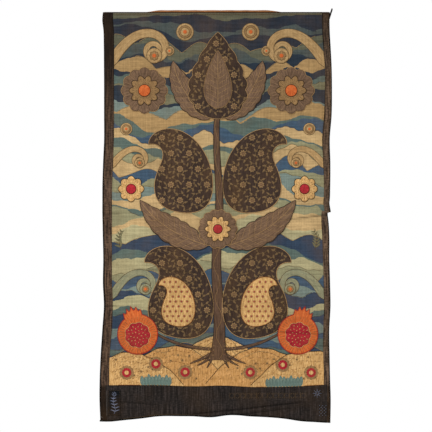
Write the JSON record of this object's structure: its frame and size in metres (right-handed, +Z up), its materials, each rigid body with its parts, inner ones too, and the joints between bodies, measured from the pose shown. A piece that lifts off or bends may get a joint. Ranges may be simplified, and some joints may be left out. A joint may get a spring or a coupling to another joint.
{
  "type": "embroidered wall hanging",
  "caption": "Tall pieced cloth panel with woven side borders, a dark band across the foot and a heading tape, hanging flat from its top edge",
  "frame": {"origin": "middle of the top edge, in the plane that the heading tape's back bears on", "axes": "+Z up along the drop, +X to the viewer's right across the face, -Y out of the face towards the viewer"},
  "size_m": [1.3983, 0.0285, 2.4867],
  "materials": {
    "ground_cloth": "pieced linen with surface stitching",
    "border_braid": "ribbed brown braid",
    "band_cloth": "dark ribbed wool",
    "patch_cloth": "navy wool",
    "heading_tape": "orange-brown twill tape",
    "tie_cloth": "dark folded cloth"
  },
  "bodies": {
    "root": {"ground_cloth": "ground_cloth", "border_left": "border_braid", "border_right_upper": "border_braid", "border_right_lower": "border_braid", "bottom_band": "band_cloth", "corner_patch": "patch_cloth", "heading_tape": "heading_tape", "corner_tie": "tie_cloth"}
  },
  "joints": []
}
